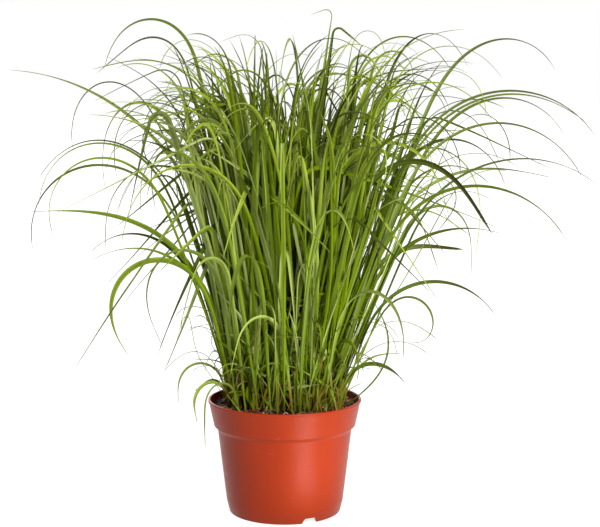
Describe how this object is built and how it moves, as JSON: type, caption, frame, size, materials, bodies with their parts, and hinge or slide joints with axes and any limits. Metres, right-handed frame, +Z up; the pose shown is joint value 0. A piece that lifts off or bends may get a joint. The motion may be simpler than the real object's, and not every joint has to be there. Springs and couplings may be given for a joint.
{
  "type": "potted ornamental grass",
  "caption": "Clump of long narrow arching grass leaves growing in a round tapered plastic nursery pot filled with compost.",
  "frame": {"origin": "on the pot's axis, on the surface that the pot stands on; the middle of the plant's box is 2.2 mm from it, towards +X", "axes": "+Z up along the pot's axis; +X to the plant's right as it is seen from the front, the direction of its widest spread; -Y is the front"},
  "size_m": [0.4639, 0.4363, 0.3909],
  "materials": {
    "terracotta_plastic": "satin moulded plastic, terracotta orange",
    "compost": "damp dark peat and bark compost, crumbly and matt",
    "leaf_green": "living grass leaf, bright mid green with fine lengthwise veins, soft sheen",
    "heart_green": "living grass leaves at the heart of the clump, mid green"
  },
  "bodies": {
    "root": {"pot": "terracotta_plastic", "soil": "compost", "leaf_left_1": "leaf_green", "leaf_left_2": "leaf_green", "leaf_left_3": "leaf_green", "leaf_left_4": "leaf_green", "leaf_left_5": "leaf_green", "leaf_left_6": "leaf_green", "leaf_left_7": "leaf_green", "leaf_left_8": "leaf_green", "leaf_left_9": "leaf_green", "leaf_left_10": "leaf_green", "leaf_left_11": "leaf_green", "leaf_left_12": "leaf_green", "leaf_left_13": "leaf_green", "leaf_left_14": "leaf_green", "leaf_left_15": "leaf_green", "leaf_left_16": "leaf_green", "leaf_left_17": "leaf_green", "leaf_left_18": "leaf_green", "leaf_left_19": "leaf_green", "leaf_top_1": "leaf_green", "leaf_top_2": "leaf_green", "leaf_top_3": "leaf_green", "leaf_top_4": "leaf_green", "leaf_right_1": "leaf_green", "leaf_right_2": "leaf_green", "leaf_right_3": "leaf_green", "leaf_right_4": "leaf_green", "leaf_right_5": "leaf_green", "leaf_right_6": "leaf_green", "leaf_right_7": "leaf_green", "leaf_right_8": "leaf_green", "leaf_right_9": "leaf_green", "leaf_right_10": "leaf_green", "leaf_right_11": "leaf_green", "leaf_right_12": "leaf_green", "leaf_right_13": "leaf_green", "leaf_right_14": "leaf_green", "leaf_right_15": "leaf_green", "leaf_front_1": "leaf_green", "leaf_front_2": "leaf_green", "leaf_front_3": "leaf_green", "leaf_front_4": "leaf_green", "leaf_front_5": "leaf_green", "leaf_front_6": "leaf_green", "leaf_back_1": "leaf_green", "leaf_back_2": "leaf_green", "leaf_back_3": "leaf_green", "leaf_back_4": "leaf_green", "leaf_back_5": "leaf_green", "leaf_back_6": "leaf_green", "sheaf_1": "heart_green", "sheaf_2": "heart_green", "sheaf_3": "heart_green", "sheaf_4": "heart_green", "sheaf_5": "heart_green", "sheaf_6": "heart_green", "sheaf_7": "heart_green", "sheaf_8": "heart_green"}
  },
  "joints": []
}
